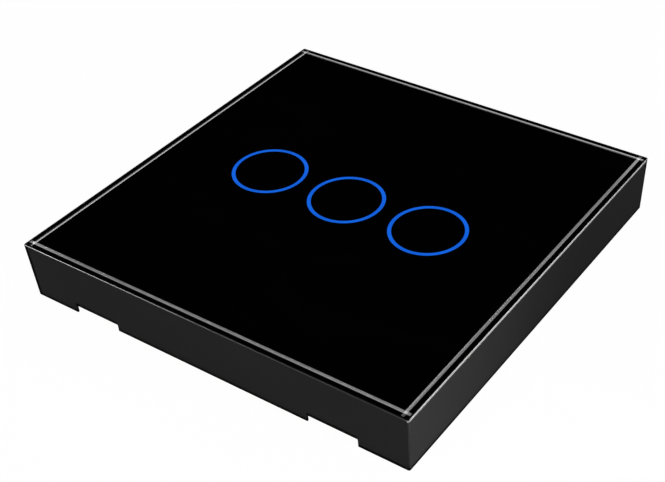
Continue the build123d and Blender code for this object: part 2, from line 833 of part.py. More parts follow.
# Countersunk screws that hold the rear cover
with BuildPart() as cover_screws:
    with BuildSketch(Plane.XY.offset(lid_back)):
        with GridLocations(2 * boss_place, 2 * boss_place, 2, 2):
            Circle(screw_head_radius)
    extrude(amount=screw_head_radius - screw_radius, taper=45)
    with BuildSketch(Plane.XY.offset(lid_back)):
        with GridLocations(2 * boss_place, 2 * boss_place, 2, 2):
            Circle(screw_radius)
    extrude(amount=screw_length)
    with BuildSketch(Plane.XY.offset(lid_back)):
        with GridLocations(2 * boss_place, 2 * boss_place, 2, 2):
            Rectangle(2 * screw_radius, cross_width)
            Rectangle(cross_width, 2 * screw_radius)
    extrude(amount=cross_depth, mode=Mode.SUBTRACT)
write_piece(cover_screws, "cover_screws")


# Wall plate: a frame with slotted screw holes, snap fingers and recesses for the adhesive pads
with BuildPart() as wall_plate:
    with BuildSketch(Plane.XY):
        RectangleRounded(2 * plate_half, 2 * plate_half, plate_corner)
        RectangleRounded(plate_window, plate_window, plate_window_radius, mode=Mode.SUBTRACT)
        with Locations((-wall_screw_spacing / 2, 0), (wall_screw_spacing / 2, 0)):
            SlotOverall(slot_length, slot_width, mode=Mode.SUBTRACT)
        with Locations((-notch_spacing / 2, -plate_half), (notch_spacing / 2, -plate_half)):
            Rectangle(notch_width + 2 * notch_relief, 2 * pry_recess, mode=Mode.SUBTRACT)
    extrude(amount=plate_thickness)
    with BuildSketch(Plane.XY):
        with GridLocations(2 * pad_x, 2 * pad_y, 2, 2):
            RectangleRounded(pad_width + 2 * slide_fit, pad_length + 2 * slide_fit, pad_radius)
    extrude(amount=pad_thickness, mode=Mode.SUBTRACT)
    with BuildSketch(Plane.XY.offset(plate_thickness)):
        with GridLocations(2 * pad_x, 2 * pip_place, 2, 2):
            Circle(pip_radius)
    extrude(amount=plate_gap - running_gap)
    for side in (-1, 1):
        for place in (-finger_place, finger_place):
            with BuildSketch(Plane.YZ.offset(place)):
                with BuildLine():
                    Polyline(
                        (side * finger_outer, plate_thickness),
                        (side * finger_outer, nose_back),
                        (side * (finger_outer + finger_nose), nose_back),
                        (side * finger_outer, nose_back + nose_height),
                        (side * (finger_outer - finger_thickness), nose_back + nose_height),
                        (side * (finger_outer - finger_thickness), plate_thickness),
                        close=True,
                    )
                make_face()
            extrude(amount=finger_width / 2, both=True)
write_piece(wall_plate, "wall_plate")


# Adhesive pads in the back of the wall plate
with BuildPart() as adhesive_pads:
    with BuildSketch(Plane.XY):
        with GridLocations(2 * pad_x, 2 * pad_y, 2, 2):
            RectangleRounded(pad_width, pad_length, pad_radius)
    extrude(amount=pad_thickness)
write_piece(adhesive_pads, "adhesive_pads")
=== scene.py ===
# Wireless light switch with a black glass touch face: finishes, studio and camera
import bpy
import bmesh
from math import cos, radians, sin
from mathutils import Matrix, Vector


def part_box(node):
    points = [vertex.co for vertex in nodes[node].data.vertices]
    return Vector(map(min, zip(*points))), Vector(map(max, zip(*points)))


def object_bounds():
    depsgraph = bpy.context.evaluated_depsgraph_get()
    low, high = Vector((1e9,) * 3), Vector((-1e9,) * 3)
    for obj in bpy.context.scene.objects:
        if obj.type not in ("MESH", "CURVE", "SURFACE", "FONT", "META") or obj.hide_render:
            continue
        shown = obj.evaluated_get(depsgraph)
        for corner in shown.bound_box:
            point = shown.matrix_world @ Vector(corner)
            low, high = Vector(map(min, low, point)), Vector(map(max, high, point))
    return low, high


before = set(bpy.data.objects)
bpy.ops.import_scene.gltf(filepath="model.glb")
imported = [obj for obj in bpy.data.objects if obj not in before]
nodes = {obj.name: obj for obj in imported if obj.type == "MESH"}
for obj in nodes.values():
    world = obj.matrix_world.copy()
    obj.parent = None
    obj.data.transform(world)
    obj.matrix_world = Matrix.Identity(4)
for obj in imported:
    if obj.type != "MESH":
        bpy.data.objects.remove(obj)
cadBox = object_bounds()
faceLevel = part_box("glass_panel")[1].z
print("frame loaded:", len(nodes), "nodes, face at", round(faceLevel * 1000, 2), "mm")


# small helpers for node trees

def fillSocket(tree, socket, value):
    if isinstance(value, bpy.types.NodeSocket):
        tree.links.new(value, socket)
    else:
        socket.default_value = value


def addNode(tree, kind, inputs=None, **settings):
    node = tree.nodes.new(kind)
    for name, value in settings.items():
        setattr(node, name, value)
    for name, value in (inputs or {}).items():
        fillSocket(tree, node.inputs[name], value)
    return node


def mathNode(tree, operation, first, second=0.0, clamp=False):
    inputs = {0: first, 1: second}
    return addNode(tree, "ShaderNodeMath", inputs, operation=operation, use_clamp=clamp).outputs[0]


def add(tree, first, second):
    return mathNode(tree, "ADD", first, second)


def subtract(tree, first, second):
    return mathNode(tree, "SUBTRACT", first, second)


def multiply(tree, first, second, clamp=False):
    return mathNode(tree, "MULTIPLY", first, second, clamp)


def absolute(tree, value):
    return mathNode(tree, "ABSOLUTE", value)


# 1 where a value lies below or above its limit, 0 elsewhere
def isBelow(tree, value, limit):
    return mathNode(tree, "LESS_THAN", value, limit)


def isAbove(tree, value, limit):
    return mathNode(tree, "GREATER_THAN", value, limit)


# goes from first to last while the value goes from start to end
def mapRange(tree, value, start, end, first=0.0, last=1.0, kind="LINEAR"):
    inputs = {"Value": value, "From Min": start, "From Max": end, "To Min": first, "To Max": last}
    return addNode(tree, "ShaderNodeMapRange", inputs, interpolation_type=kind).outputs["Result"]


def easeRange(tree, value, start, end, first=0.0, last=1.0):
    return mapRange(tree, value, start, end, first, last, "SMOOTHSTEP")


def mixValues(tree, factor, first, second):
    return addNode(tree, "ShaderNodeMix", {0: factor, 2: first, 3: second}).outputs[0]


def mixColors(tree, factor, first, second):
    inputs = {0: factor, 6: first, 7: second}
    return addNode(tree, "ShaderNodeMix", inputs, data_type="RGBA").outputs[2]


def splitAxes(tree, vector):
    return addNode(tree, "ShaderNodeSeparateXYZ", {0: vector}).outputs


def noise(tree, place, scale, detail, **others):
    inputs = {"Vector": place, "Scale": scale, "Detail": detail, **others}
    return addNode(tree, "ShaderNodeTexNoise", inputs).outputs["Fac"]


def cells(tree, place, scale, **settings):
    inputs = {"Vector": place, "Scale": scale}
    return addNode(tree, "ShaderNodeTexVoronoi", inputs, **settings).outputs["Distance"]


def bumpNormal(tree, height, strength, depth):
    inputs = {"Height": height, "Strength": strength, "Distance": depth}
    return addNode(tree, "ShaderNodeBump", inputs).outputs["Normal"]


def grey(level):
    return (level, level, level, 1.0)


def opaque(colour):
    return (*colour, 1.0)


def emptyMaterial(name):
    material = bpy.data.materials.new(name)
    material.use_nodes = True
    material.node_tree.nodes.clear()
    return material, material.node_tree


def startMaterial(name):
    material, tree = emptyMaterial(name)
    shader = addNode(tree, "ShaderNodeBsdfPrincipled")
    addNode(tree, "ShaderNodeOutputMaterial", {"Surface": shader.outputs["BSDF"]})
    place = addNode(tree, "ShaderNodeTexCoord").outputs["Object"]
    return material, tree, shader, place


def wire(tree, value, shader, socketName):
    tree.links.new(value, shader.inputs[socketName])


def putOn(material, *names):
    for name in names:
        slots = nodes[name].data.materials
        slots.clear()
        slots.append(material)


# effects that several finishes share: each takes a place and a few numbers

def startGroup(name, numbers, outputs):
    group = bpy.data.node_groups.new(name, "ShaderNodeTree")
    sockets = group.interface
    kind = "NodeSocketFloat"
    sockets.new_socket(name="Place", in_out="INPUT", socket_type="NodeSocketVector")
    for socketName, value in numbers.items():
        socket = sockets.new_socket(name=socketName, in_out="INPUT", socket_type=kind)
        socket.default_value = value
    for socketName in outputs:
        sockets.new_socket(name=socketName, in_out="OUTPUT", socket_type=kind)
    given = addNode(group, "NodeGroupInput").outputs
    return group, given, addNode(group, "NodeGroupOutput").inputs


mouldGrainValues = {
    "scale": 4000.0, "detail": 3.0, "roughness": 0.6, "pitShare": 0.6,
    "patchScale": 90.0, "patchDetail": 4.0, "patchFrom": 0.3, "patchTo": 0.7,
}


# fine spark-eroded texture of a mould: a height, and a mask that varies the gloss
def makeMouldGrain(values):
    numbers = {"Scale": values["scale"], "Patch Scale": values["patchScale"]}
    group, given, result = startGroup("mouldGrain", numbers, ["Height", "Gloss Mask"])
    place, scale = given["Place"], given["Scale"]
    fine = noise(group, place, scale, values["detail"], Roughness=values["roughness"])
    pits = multiply(group, cells(group, place, scale, feature="SMOOTH_F1"), values["pitShare"])
    patch = noise(group, place, given["Patch Scale"], values["patchDetail"])
    fillSocket(group, result["Height"], add(group, pits, fine))
    gloss = easeRange(group, patch, values["patchFrom"], values["patchTo"])
    fillSocket(group, result["Gloss Mask"], gloss)
    return group


edgeWearValues = {
    "radius": 0.0003, "samples": 6, "flatFrom": 0.995, "roundFrom": 0.85, "amount": 1.0,
    "scale": 250.0, "detail": 5.0, "rubFrom": 0.35, "rubTo": 0.6, "leastRub": 0.45,
}


# where the corners and edges of a piece are rubbed smooth
def makeEdgeWear(values):
    numbers = {"Radius": values["radius"], "Scale": values["scale"], "Amount": values["amount"]}
    group, given, result = startGroup("edgeWear", numbers, ["Mask"])
    radius = {"Radius": given["Radius"]}
    rounded = addNode(group, "ShaderNodeBevel", radius, samples=values["samples"])
    straight = addNode(group, "ShaderNodeNewGeometry")
    normals = {0: rounded.outputs["Normal"], 1: straight.outputs["Normal"]}
    along = addNode(group, "ShaderNodeVectorMath", normals, operation="DOT_PRODUCT")
    edge = easeRange(group, along.outputs["Value"], values["flatFrom"], values["roundFrom"])
    wearAndHighlightMask = noise(group, given["Place"], given["Scale"], values["detail"])
    broken = easeRange(group, wearAndHighlightMask, values["rubFrom"], values["rubTo"], values["leastRub"], 1.0)
    mask = multiply(group, multiply(group, edge, broken), given["Amount"], True)
    fillSocket(group, result["Mask"], mask)
    return group


smudgeValues = {
    "scale": 40.0, "amount": 1.0, "turn": 0.6, "stretch": 3.0,
    "detail": 6.0, "distortion": 1.2, "wipedFrom": 0.48, "wipedTo": 0.72,
}


# faint wiping and finger marks on a polished face
def makeSmudges(values):
    numbers = {"Scale": values["scale"], "Amount": values["amount"]}
    group, given, result = startGroup("smudges", numbers, ["Mask"])
    stretched = addNode(group, "ShaderNodeMapping", {
        "Vector": given["Place"],
        "Rotation": (0.0, 0.0, values["turn"]), "Scale": (1.0, values["stretch"], 1.0),
    }).outputs["Vector"]
    wiped = noise(
        group, stretched, given["Scale"], values["detail"], Distortion=values["distortion"],
    )
    marks = easeRange(group, wiped, values["wipedFrom"], values["wipedTo"])
    fillSocket(group, result["Mask"], multiply(group, marks, given["Amount"], True))
    return group


brushingValues = {"scale": 3000.0, "stretch": 0.03, "detail": 2.0}


# brushed or turned metal: fine lines along one direction
def makeBrushing(values):
    numbers = {"Scale": values["scale"], "Stretch": values["stretch"]}
    group, given, result = startGroup("brushing", numbers, ["Height", "Gloss Mask"])
    stretch = addNode(group, "ShaderNodeCombineXYZ", {0: given["Stretch"], 1: 1.0, 2: 1.0})
    factors = {0: given["Place"], 1: stretch.outputs["Vector"]}
    drawn = addNode(group, "ShaderNodeVectorMath", factors, operation="MULTIPLY")
    lines = noise(group, drawn.outputs["Vector"], given["Scale"], values["detail"])
    fillSocket(group, result["Height"], lines)
    fillSocket(group, result["Gloss Mask"], lines)
    return group


effects = {
    "mouldGrain": makeMouldGrain(mouldGrainValues),
    "edgeWear": makeEdgeWear(edgeWearValues),
    "smudges": makeSmudges(smudgeValues),
    "brushing": makeBrushing(brushingValues),
}


def useEffect(tree, name, place, **values):
    node = addNode(tree, "ShaderNodeGroup", node_tree=effects[name])
    tree.links.new(place, node.inputs["Place"])
    for socketName, value in values.items():
        node.inputs[socketName.replace("_", " ")].default_value = value
    return node.outputs


print("shared effects made:", ", ".join(effects))


# moulded plastics

def mouldedPlastic(name, values):
    material, tree, shader, place = startMaterial(name)
    sizes = {"Scale": values["grainScale"], "Patch_Scale": values["patchScale"]}
    grain = useEffect(tree, "mouldGrain", place, **sizes)
    wear = useEffect(tree, "edgeWear", place, Radius=values["wearRadius"], Amount=values["wear"])
    tint = grey(values["colour"] * values["patchTint"])
    patchy = mixColors(tree, grain["Gloss Mask"], grey(values["colour"]), tint)
    worn = mixColors(tree, wear["Mask"], patchy, grey(values["wornColour"]))
    wire(tree, worn, shader, "Base Color")
    roughest = values["roughness"] + values["roughnessSpread"]
    gloss = mapRange(tree, grain["Gloss Mask"], 0.0, 1.0, values["roughness"], roughest)
    wearAndPaintedHighlight = multiply(tree, wear["Mask"], values["wearPolish"])
    wire(tree, subtract(tree, gloss, wearAndPaintedHighlight), shader, "Roughness")
    shader.inputs["Specular IOR Level"].default_value = values["specular"]
    normal = bumpNormal(tree, grain["Height"], values["grainStrength"], values["grainDepth"])
    wire(tree, normal, shader, "Normal")
    return material


housingPlastic = {
    "colour": 0.0122, "patchTint": 1.06, "wornColour": 0.0165,
    "roughness": 0.5, "roughnessSpread": 0.05, "wearPolish": 0.1, "specular": 0.15,
    "grainScale": 5200.0, "grainStrength": 0.25, "grainDepth": 0.00003, "patchScale": 60.0,
    "wearRadius": 0.00022, "wear": 0.8,
}
# painted shade: how dark and how wide the shaded band is along the lower edges, round the notches
# and down the outer corners
shadedEdge = {
    "colour": 0.0008, "dulling": 0.95, "width": 0.00058, "fade": 0.00028,
    "footHeight": 0.0001, "middleLift": 0.00025,  # the shade starts higher between the notches
    "notchedSideTo": -0.0135, "notchPlace": 0.027, "notchHalf": 0.0052, "notchTop": 0.00185,
    "cornerWidth": 0.00012, "cornerLean": 0.00089,
}
rimPolish = {
    "colour": 0.0006, "roughness": 0.3, "coatRoughness": 0.17, "coatHardness": 2.2,
    "startsBelowFace": 0.00018, "fullBelowFace": 0.00012,
}
# painted highlight: how light the right-hand wall is painted just below the rim, at the front and
# far back
paintedEdgeHighlight = {
    "colour": 0.22, "farColour": 0.4, "farFrom": -0.03, "farTo": 0.005,
    "fromX": 0.0427, "startsBelowFace": 0.00048, "fullBelowFace": 0.00036,
}


# painted shade: the walls are darker along their lower edges, round the notches and down the two
# outer corners
def edgeShade(tree, place, low):
    axes = splitAxes(tree, place)
    fromMiddle = absolute(tree, axes["X"])
    fromNotch = absolute(tree, subtract(tree, fromMiddle, low["notchPlace"]))
    notchedSide = isBelow(tree, axes["Y"], low["notchedSideTo"])
    inNotch = multiply(tree, notchedSide, isBelow(tree, fromNotch, low["notchHalf"]))
    between = isBelow(tree, fromMiddle, low["notchPlace"])
    lifted = multiply(tree, multiply(tree, between, notchedSide), low["middleLift"])
    # a whole metre more leaves out the foot in a notch, and the top of a notch beside it
    aboveFoot = subtract(tree, subtract(tree, axes["Z"], low["footHeight"]), lifted)
    aboveFoot = add(tree, aboveFoot, inNotch)
    outsideNotch = subtract(tree, 1.0, inNotch)
    aboveNotch = add(tree, subtract(tree, axes["Z"], low["notchTop"]), outsideNotch)
    # the outer corners lean inwards on their way down
    reach = (cadBox[1][0] - low["cornerWidth"]) * 2.0
    reachHere = mapRange(tree, axes["Z"], 0.0, faceLevel, reach - low["cornerLean"], reach)
    toCorner = subtract(tree, reachHere, absolute(tree, add(tree, axes["X"], axes["Y"])))
    toEdge = mathNode(tree, "MINIMUM", aboveNotch, toCorner)
    toEdge = mathNode(tree, "MINIMUM", aboveFoot, toEdge)
    return easeRange(tree, toEdge, low["width"], low["width"] + low["fade"], 1.0, 0.0)


def nearFace(tree, height, values):
    start = faceLevel - values["startsBelowFace"]
    return easeRange(tree, height, start, faceLevel - values["fullBelowFace"])


# satin walls with a polished black rim round the glass, painted shade along the lower edges and a
# painted highlight on the right-hand wall just below the rim
def rimmedHousing(values, polish, wearAndPaintedHighlight, low):
    material = mouldedPlastic("housingPlastic", values)
    tree = material.node_tree
    shader = next(node for node in tree.nodes if node.type == "BSDF_PRINCIPLED")
    satinColour = shader.inputs["Base Color"].links[0].from_socket
    satinRoughness = shader.inputs["Roughness"].links[0].from_socket
    place = addNode(tree, "ShaderNodeTexCoord").outputs["Object"]
    axes = splitAxes(tree, place)
    # painted highlight: the right-hand wall just below the rim is painted lighter, more so towards
    # the back, in place of the lamp's glint on that edge
    onRightWall = isAbove(tree, axes["X"], wearAndPaintedHighlight["fromX"])
    wearAndHighlightMask = multiply(tree, nearFace(tree, axes["Z"], wearAndPaintedHighlight), onRightWall)
    towardsFar = easeRange(tree, axes["Y"], wearAndPaintedHighlight["farFrom"], wearAndPaintedHighlight["farTo"])
    paintedHighlightColour = mixColors(tree, towardsFar, grey(wearAndPaintedHighlight["colour"]), grey(wearAndPaintedHighlight["farColour"]))
    colour = mixColors(tree, wearAndHighlightMask, satinColour, paintedHighlightColour)
    shade = edgeShade(tree, place, low)
    colour = mixColors(tree, shade, colour, grey(low["colour"]))
    rim = nearFace(tree, axes["Z"], polish)
    wire(tree, mixColors(tree, rim, colour, grey(polish["colour"])), shader, "Base Color")
    wire(tree, mixValues(tree, rim, satinRoughness, polish["roughness"]), shader, "Roughness")
    # painted shade: a black metal response keeps the shaded edge from mirroring the studio
    wire(tree, multiply(tree, shade, low["dulling"]), shader, "Metallic")
    wire(tree, rim, shader, "Coat Weight")
    shader.inputs["Coat Roughness"].default_value = polish["coatRoughness"]
    shader.inputs["Coat IOR"].default_value = polish["coatHardness"]
    return material


putOn(rimmedHousing(housingPlastic, rimPolish, paintedEdgeHighlight, shadedEdge), "front_housing")
putOn(mouldedPlastic("framePlastic", housingPlastic), "light_frame")

coverPlastic = {
    "colour": 0.014, "patchTint": 1.15, "wornColour": 0.03,
    "roughness": 0.55, "roughnessSpread": 0.08, "wearPolish": 0.15, "specular": 0.35,
    "grainScale": 2600.0, "grainStrength": 0.5, "grainDepth": 0.00008, "patchScale": 50.0,
    "wearRadius": 0.0003, "wear": 0.8,
}
putOn(mouldedPlastic("coverPlastic", coverPlastic), "rear_cover")

platePlastic = {
    "colour": 0.018, "patchTint": 1.12, "wornColour": 0.04,
    "roughness": 0.5, "roughnessSpread": 0.1, "wearPolish": 0.18, "specular": 0.35,
    "grainScale": 3200.0, "grainStrength": 0.4, "grainDepth": 0.00006, "patchScale": 40.0,
    "wearRadius": 0.0003, "wear": 0.9,
}
putOn(mouldedPlastic("platePlastic", platePlastic), "wall_plate")

lidPlastic = {
    "colour": 0.02, "patchTint": 1.1, "wornColour": 0.06,
    "roughness": 0.42, "roughnessSpread": 0.08, "wearPolish": 0.15, "specular": 0.4,
    "grainScale": 4200.0, "grainStrength": 0.3, "grainDepth": 0.00004, "patchScale": 70.0,
    "wearRadius": 0.00025, "wear": 1.0,
}
putOn(mouldedPlastic("lidPlastic", lidPlastic), "battery_lid")

buttonPlastic = {
    "colour": 0.42, "patchTint": 0.94, "wornColour": 0.5,
    "roughness": 0.4, "roughnessSpread": 0.08, "wearPolish": 0.1, "specular": 0.5,
    "grainScale": 5200.0, "grainStrength": 0.2, "grainDepth": 0.00003, "patchScale": 120.0,
    "wearRadius": 0.0002, "wear": 0.6,
}
putOn(mouldedPlastic("buttonPlastic", buttonPlastic), "pairing_button", "switch_plunger")

chipPlastic = {
    "colour": 0.018, "patchTint": 1.1, "wornColour": 0.05,
    "roughness": 0.55, "roughnessSpread": 0.08, "wearPolish": 0.1, "specular": 0.4,
    "grainScale": 6000.0, "grainStrength": 0.3, "grainDepth": 0.00003, "patchScale": 200.0,
    "wearRadius": 0.0001, "wear": 0.5,
}
putOn(
    mouldedPlastic("chipPlastic", chipPlastic),
    "controller_chip", "touch_chip", "passives", "pairing_switch",
)

milkyPlastic = {
    "colour": 0.8, "patchTint": 0.97, "wornColour": 0.85,
    "roughness": 0.35, "roughnessSpread": 0.06, "wearPolish": 0.05, "specular": 0.5,
    "grainScale": 5200.0, "grainStrength": 0.1, "grainDepth": 0.00003, "patchScale": 100.0,
    "wearRadius": 0.0002, "wear": 0.3,
}
putOn(
    mouldedPlastic("milkyPlastic", milkyPlastic),
    "diffuser_sheet", "light_guide_left", "light_guide_middle", "light_guide_right", "ring_leds",
)
print("moulded plastics done")


# the touch face: black glass, silver lines and lit rings

glassValues = {
    "colour": 0.0006, "smudgeColour": 0.0012, "smudgeScale": 22.0, "smudgeDulling": 0.2,
    "polishRoughness": 0.035, "groundWidth": 0.00012, "groundFade": 0.8,
}


def blackGlass(values):
    material, tree, shader, place = startMaterial("blackGlass")
    smudge = useEffect(tree, "smudges", place, Scale=values["smudgeScale"])["Mask"]
    colour = mixColors(tree, smudge, grey(values["colour"]), grey(values["smudgeColour"]))
    wire(tree, colour, shader, "Base Color")
    shader.inputs["Specular IOR Level"].default_value = 0.0
    shader.inputs["Coat Roughness"].default_value = values["polishRoughness"]
    # the polish ends at the ground arris round the pane
    axes = splitAxes(tree, place)
    outward = mathNode(tree, "MAXIMUM", absolute(tree, axes["X"]), absolute(tree, axes["Y"]))
    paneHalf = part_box("glass_panel")[1].x
    ground = values["groundWidth"]
    groundFrom, groundFull = paneHalf - ground, paneHalf - ground * values["groundFade"]
    polished = mapRange(tree, outward, groundFrom, groundFull, 1.0, 0.0)
    dulling = mapRange(tree, smudge, 0.0, 1.0, 1.0, 1.0 - values["smudgeDulling"])
    wire(tree, multiply(tree, polished, dulling), shader, "Coat Weight")
    return material


putOn(blackGlass(glassValues), "glass_panel")

# names that end in At, From or To, and start and end, are shares of half a strip's width,
# apart from farFrom and rightFarFrom, which are shares of linePlace
lineValues = {
    "linePlace": 0.04155, "lineWidth": 0.00062, "roughness": 0.4,
    "silver": 0.24, "middle": 0.18, "middleTo": 0.6,
    "runOut": 0.17, "runOutAcross": 0.07, "runOutAt": 1.3, "crossing": 0.5, "crossingAt": 0.8,
    # painted light: farBoost and rightFarBoost brighten the far strips and the right one far back
    "farBoost": 1.5, "farFrom": 0.7, "rightFarBoost": 0.28, "rightFarFrom": -0.5,
    "innerShare": 0.7, "innerTo": 0.2, "edgeShare": 0.6, "edgeFrom": 0.75,
    "thinShare": 0.06,  # what is left of the silver beside a thinner strip
    "thinBack": {"start": -0.3, "end": 0.45, "gain": 1.45},
    "thinLeft": {"start": -0.6, "end": 0.2, "gain": 2.1},
    "sparkleScale": 5000.0, "sparkleLeast": 0.92, "sparkleMost": 1.08,
}


# the silver of the strips, their run-outs and their crossings
def stripColour(tree, acrossX, acrossY, crossed, values):
    half = values["lineWidth"] / 2
    nearest = mathNode(tree, "MINIMUM", absolute(tree, acrossX), absolute(tree, acrossY))
    # a fine darker line down the middle of each strip
    profile = easeRange(tree, nearest, 0.0, half * values["middleTo"])
    colour = mixColors(tree, profile, grey(values["middle"]), grey(values["silver"]))
    # past the crossings the strips run on to the edge and fade, each direction by its own value
    for across, name in ((acrossX, "runOut"), (acrossY, "runOutAcross")):
        outside = easeRange(tree, across, half, half * values["runOutAt"])
        colour = mixColors(tree, outside, colour, grey(values[name]))
    return mixColors(tree, crossed, colour, grey(values["crossing"]))


# painted light: the sides away from the notches are painted brighter, as is the right one far back
def stripPaintedLight(tree, axes, values):
    linePlace = values["linePlace"]
    farness = mathNode(tree, "MAXIMUM", axes["Y"], multiply(tree, axes["X"], -1.0))
    farFrom = linePlace * values["farFrom"]
    boost = easeRange(tree, farness, farFrom, linePlace, 1.0, values["farBoost"])
    rightFrom = linePlace * values["rightFarFrom"]
    rightFar = easeRange(tree, axes["Y"], rightFrom, 0.0, 0.0, values["rightFarBoost"])
    onRight = isAbove(tree, axes["X"], linePlace - values["lineWidth"] / 2)
    return multiply(tree, boost, add(tree, 1.0, multiply(tree, rightFar, onRight)))


def borderSilver(values):
    material, tree, shader, place = startMaterial("borderSilver")
    axes = splitAxes(tree, place)
    half = values["lineWidth"] / 2
    acrossX = subtract(tree, absolute(tree, axes["X"]), values["linePlace"])
    acrossY = subtract(tree, absolute(tree, axes["Y"]), values["linePlace"])
    awayX, awayY = absolute(tree, acrossX), absolute(tree, acrossY)
    nearest = mathNode(tree, "MINIMUM", awayX, awayY)
    furthest = mathNode(tree, "MAXIMUM", awayX, awayY)
    crossed = easeRange(tree, furthest, half, half * values["crossingAt"])
    colour = stripColour(tree, acrossX, acrossY, crossed, values)
    runsAlongY = isBelow(tree, awayX, awayY)
    runsAlongX = subtract(tree, 1.0, runsAlongY)
    onLeft = multiply(tree, runsAlongY, isBelow(tree, axes["X"], 0.0))
    onBack = multiply(tree, runsAlongX, isAbove(tree, axes["Y"], 0.0))
    # painted shade: each strip is darker along its inner side, on the left its outer one; each is
    # also softer at both edges
    outward = mixValues(tree, runsAlongY, acrossY, acrossX)
    sideways = mixValues(tree, onLeft, outward, multiply(tree, outward, -1.0))
    innerTo = half * values["innerTo"]
    lean = easeRange(tree, sideways, -half, innerTo, values["innerShare"], 1.0)
    soft = easeRange(tree, nearest, half * values["edgeFrom"], half, 1.0, values["edgeShare"])
    shares = multiply(tree, stripPaintedLight(tree, axes, values), multiply(tree, lean, soft))
    # the two strips away from the notches are thinner, and painted light makes them brighter, apart
    # from their crossings
    single = subtract(tree, 1.0, crossed)
    for here, thin in ((onBack, values["thinBack"]), (onLeft, values["thinLeft"])):
        start, end = half * thin["start"], half * thin["end"]
        thinned = easeRange(tree, sideways, start, end, values["thinShare"], thin["gain"])
        thinHere = mixValues(tree, multiply(tree, here, single), 1.0, thinned)
        shares = multiply(tree, shares, thinHere)
    flakes = cells(tree, place, values["sparkleScale"])
    fleck = mapRange(tree, flakes, 0.0, 1.0, values["sparkleLeast"], values["sparkleMost"])
    factors = {0: colour, 1: multiply(tree, fleck, shares)}
    flecked = addNode(tree, "ShaderNodeVectorMath", factors, operation="MULTIPLY")
    wire(tree, flecked.outputs["Vector"], shader, "Base Color")
    shader.inputs["Roughness"].default_value = values["roughness"]
    return material


putOn(borderSilver(lineValues), "border_line")

ringValues = {
    "glow": (0.0035, 0.117, 0.71), "glowDim": (0.003, 0.105, 0.65), "body": (0.002, 0.016, 0.09),
    "ledsPerRing": 4, "roughness": 0.25, "strength": 1.0,
}
ringPlaces = {"light_ring_left": -0.0187, "light_ring_middle": 0.0, "light_ring_right": 0.0187}


def litRing(name, middle, values):
    material, tree, shader, place = startMaterial(name)
    # a little brighter over each LED, dimmer between them
    moved = addNode(tree, "ShaderNodeMapping", {"Vector": place, "Location": (-middle, 0.0, 0.0)})
    axes = splitAxes(tree, moved.outputs["Vector"])
    turn = mathNode(tree, "ARCTAN2", axes["Y"], axes["X"])
    wave = mathNode(tree, "COSINE", multiply(tree, turn, float(values["ledsPerRing"])))
    share = easeRange(tree, wave, -1.0, 1.0, 1.0, 0.0)
    glow = mixColors(tree, share, opaque(values["glowDim"]), opaque(values["glow"]))
    wire(tree, glow, shader, "Emission Color")
    shader.inputs["Base Color"].default_value = opaque(values["body"])
    shader.inputs["Emission Strength"].default_value = values["strength"]
    shader.inputs["Roughness"].default_value = values["roughness"]
    return material


for ringName, ringMiddle in ringPlaces.items():
    finishName = "litRing" + ringName.split("_")[-1].capitalize()
    putOn(litRing(finishName, ringMiddle, ringValues), ringName)
print("touch face done")


# metals

drawnLines = {"glossFrom": 0.3, "glossTo": 0.7, "roughnessSpread": 0.12, "strength": 0.2}


def brushedMetal(name, values, drawn):
    material, tree, shader, place = startMaterial(name)
    sizes = {"Scale": values["lineScale"], "Stretch": values["stretch"]}
    lines = useEffect(tree, "brushing", place, **sizes)
    wear = useEffect(tree, "edgeWear", place, Radius=values["wearRadius"], Amount=values["wear"])
    glossMask = lines["Gloss Mask"]
    colour = mixColors(tree, glossMask, opaque(values["dark"]), opaque(values["colour"]))
    colour = mixColors(tree, wear["Mask"], colour, opaque(values["worn"]))
    wire(tree, colour, shader, "Base Color")
    shader.inputs["Metallic"].default_value = 1.0
    smoothest = values["roughness"]
    roughest = smoothest + drawn["roughnessSpread"]
    gloss = mapRange(
        tree, glossMask, drawn["glossFrom"], drawn["glossTo"], smoothest, roughest,
    )
    wire(tree, gloss, shader, "Roughness")
    normal = bumpNormal(tree, lines["Height"], drawn["strength"], values["lineDepth"])
    wire(tree, normal, shader, "Normal")
    return material


springSteel = {
    "colour": (0.62, 0.61, 0.58), "dark": (0.5, 0.49, 0.47), "worn": (0.7, 0.7, 0.68),
    "roughness": 0.25, "lineScale": 2500.0, "stretch": 0.05, "lineDepth": 0.00002,
    "wearRadius": 0.0001, "wear": 0.4,
}
putOn(
    brushedMetal("springSteel", springSteel, drawnLines),
    "touch_spring_left", "touch_spring_middle", "touch_spring_right",
    "contact_minus", "contact_plus",
)

cellSteel = {
    "colour": (0.66, 0.66, 0.65), "dark": (0.56, 0.56, 0.56), "worn": (0.72, 0.72, 0.72),
    "roughness": 0.22, "lineScale": 1800.0, "stretch": 0.02, "lineDepth": 0.00002,
    "wearRadius": 0.0002, "wear": 0.3,
}
putOn(brushedMetal("cellSteel", cellSteel, drawnLines), "coin_cell", "crystal")

screwSteel = {
    "colour": (0.42, 0.42, 0.43), "dark": (0.3, 0.3, 0.31), "worn": (0.6, 0.6, 0.6),
    "roughness": 0.32, "lineScale": 3500.0, "stretch": 0.6, "lineDepth": 0.00003,
    "wearRadius": 0.00015, "wear": 0.8,
}
putOn(brushedMetal("screwSteel", screwSteel, drawnLines), "cover_screws")

copperWire = {
    "colour": (0.72, 0.32, 0.13), "dark": (0.5, 0.2, 0.08), "worn": (0.8, 0.42, 0.2),
    "roughness": 0.2, "lineScale": 1200.0, "stretch": 0.2, "lineDepth": 0.00001,
    "wearRadius": 0.0001, "wear": 0.2,
}
putOn(brushedMetal("copperWire", copperWire, drawnLines), "antenna_coil")
print("metals done")


# circuit board, tape and foam

